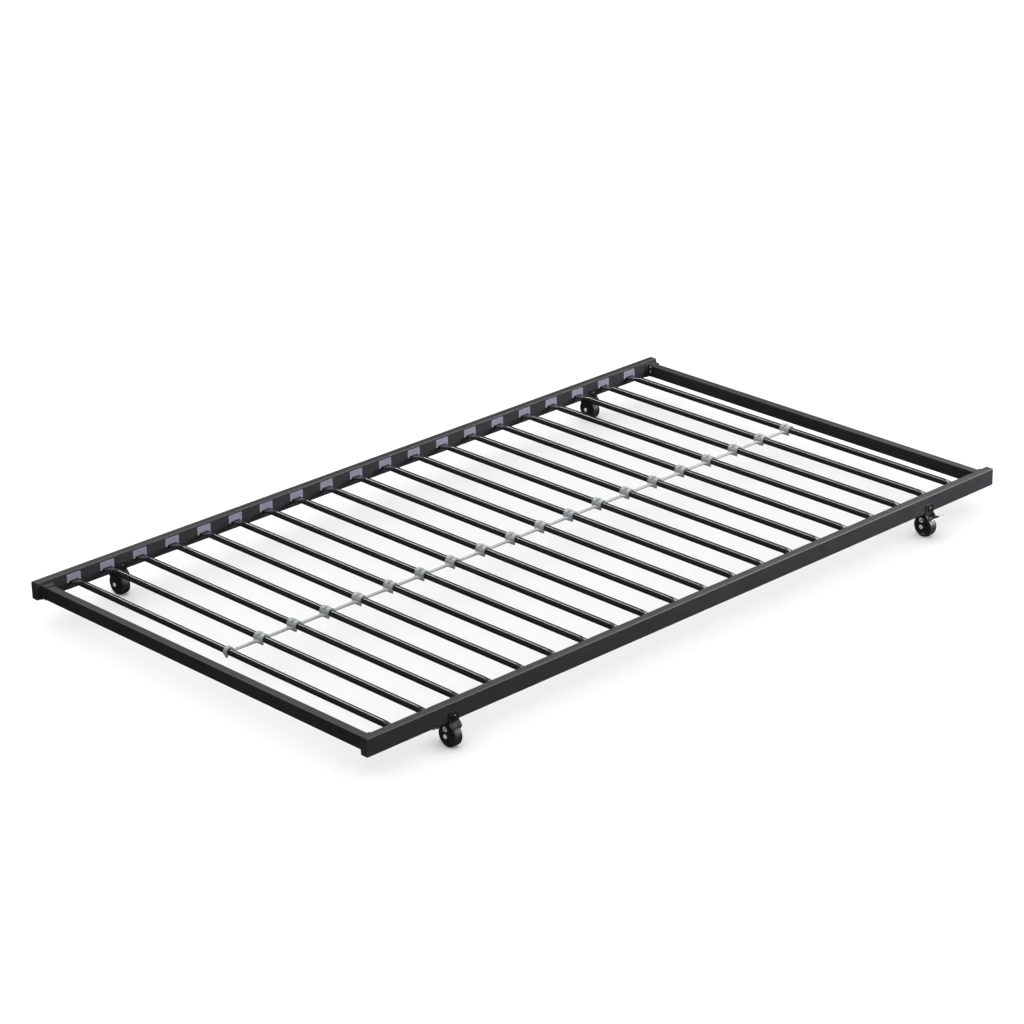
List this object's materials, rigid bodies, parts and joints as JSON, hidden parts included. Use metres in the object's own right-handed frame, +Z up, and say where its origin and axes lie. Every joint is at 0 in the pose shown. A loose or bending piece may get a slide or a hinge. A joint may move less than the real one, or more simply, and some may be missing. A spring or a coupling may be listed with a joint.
{
  "type": "trundle bed",
  "caption": "Low rectangular steel frame of raised side rails and lower end rails, with round slats joined by a centre support, rolling on swivel casters under the side rails.",
  "frame": {"origin": "on the floor, under the middle of the frame", "axes": "+X along the bed to the right end, +Y from the front side to the rear side, +Z up"},
  "size_m": [1.905, 1.1334, 0.098],
  "materials": {
    "black_powder_coat": "satin black powder coat on steel tube",
    "black_plastic": "matt black moulded plastic",
    "grey_plastic": "satin pale grey moulded plastic",
    "black_steel": "glossy black coating on pressed steel",
    "zinc_steel": "bright zinc plate",
    "black_tread": "satin black solid wheel"
  },
  "bodies": {
    "bed_frame": {"side_rail_front": "black_powder_coat", "side_rail_rear": "black_powder_coat", "end_cap_front_left": "black_plastic", "end_cap_front_right": "black_plastic", "end_cap_rear_left": "black_plastic", "end_cap_rear_right": "black_plastic", "end_rail_left": "black_powder_coat", "end_rail_right": "black_powder_coat", "corner_bracket_front_left": "black_powder_coat", "corner_bracket_front_right": "black_powder_coat", "corner_bracket_rear_left": "black_powder_coat", "corner_bracket_rear_right": "black_powder_coat", "slat_01": "black_powder_coat", "slat_02": "black_powder_coat", "slat_03": "black_powder_coat", "slat_04": "black_powder_coat", "slat_05": "black_powder_coat", "slat_06": "black_powder_coat", "slat_07": "black_powder_coat", "slat_08": "black_powder_coat", "slat_09": "black_powder_coat", "slat_10": "black_powder_coat", "slat_11": "black_powder_coat", "slat_12": "black_powder_coat", "slat_13": "black_powder_coat", "slat_14": "black_powder_coat", "slat_15": "black_powder_coat", "slat_16": "black_powder_coat", "slat_17": "black_powder_coat", "slat_18": "black_powder_coat", "slat_19": "black_powder_coat", "slat_20": "black_powder_coat", "centre_support_chain": "grey_plastic", "saddle_front_left": "black_steel", "saddle_front_right": "black_steel", "saddle_rear_left": "black_steel", "saddle_rear_right": "black_steel", "saddle_bolt_front_left": "black_steel", "saddle_bolt_front_right": "black_steel", "saddle_bolt_rear_left": "black_steel", "saddle_bolt_rear_right": "black_steel", "kingpin_front_left": "zinc_steel", "kingpin_front_right": "zinc_steel", "kingpin_rear_left": "zinc_steel", "kingpin_rear_right": "zinc_steel"},
    "caster_front_left": {"fork_front_left": "black_steel", "axle_front_left": "zinc_steel"},
    "wheel_front_left": {"wheel_front_left": "black_tread"},
    "caster_front_right": {"fork_front_right": "black_steel", "axle_front_right": "zinc_steel"},
    "wheel_front_right": {"wheel_front_right": "black_tread"},
    "caster_rear_left": {"fork_rear_left": "black_steel", "axle_rear_left": "zinc_steel"},
    "wheel_rear_left": {"wheel_rear_left": "black_tread"},
    "caster_rear_right": {"fork_rear_right": "black_steel", "axle_rear_right": "zinc_steel"},
    "wheel_rear_right": {"wheel_rear_right": "black_tread"},
    "brake_front_left": {"brake_lever_front_left": "zinc_steel"},
    "brake_front_right": {"brake_lever_front_right": "zinc_steel"}
  },
  "joints": [
    {"name": "swivel_front_left", "type": "hinge", "parent": "bed_frame", "child": "caster_front_left", "pos_m": [-0.727, -0.535, 0.056], "axis": [0, 0, 1], "continuous": true},
    {"name": "roll_front_left", "type": "hinge", "parent": "caster_front_left", "child": "wheel_front_left", "pos_m": [-0.727, -0.535, 0.025], "axis": [1, 0, 0], "continuous": true},
    {"name": "swivel_front_right", "type": "hinge", "parent": "bed_frame", "child": "caster_front_right", "pos_m": [0.727, -0.535, 0.056], "axis": [0, 0, 1], "continuous": true},
    {"name": "roll_front_right", "type": "hinge", "parent": "caster_front_right", "child": "wheel_front_right", "pos_m": [0.727, -0.535, 0.025], "axis": [1, 0, 0], "continuous": true},
    {"name": "swivel_rear_left", "type": "hinge", "parent": "bed_frame", "child": "caster_rear_left", "pos_m": [-0.727, 0.535, 0.056], "axis": [0, 0, 1], "continuous": true},
    {"name": "roll_rear_left", "type": "hinge", "parent": "caster_rear_left", "child": "wheel_rear_left", "pos_m": [-0.727, 0.535, 0.025], "axis": [1, 0, 0], "continuous": true},
    {"name": "swivel_rear_right", "type": "hinge", "parent": "bed_frame", "child": "caster_rear_right", "pos_m": [0.727, 0.535, 0.056], "axis": [0, 0, 1], "continuous": true},
    {"name": "roll_rear_right", "type": "hinge", "parent": "caster_rear_right", "child": "wheel_rear_right", "pos_m": [0.727, 0.535, 0.025], "axis": [1, 0, 0], "continuous": true},
    {"name": "brake_front_left", "type": "hinge", "parent": "caster_front_left", "child": "brake_front_left", "pos_m": [-0.727, -0.535, 0.041], "axis": [-1, 0, 0], "range_deg": [-30, 0]},
    {"name": "brake_front_right", "type": "hinge", "parent": "caster_front_right", "child": "brake_front_right", "pos_m": [0.727, -0.535, 0.041], "axis": [1, 0, 0], "range_deg": [0, 30]}
  ]
}
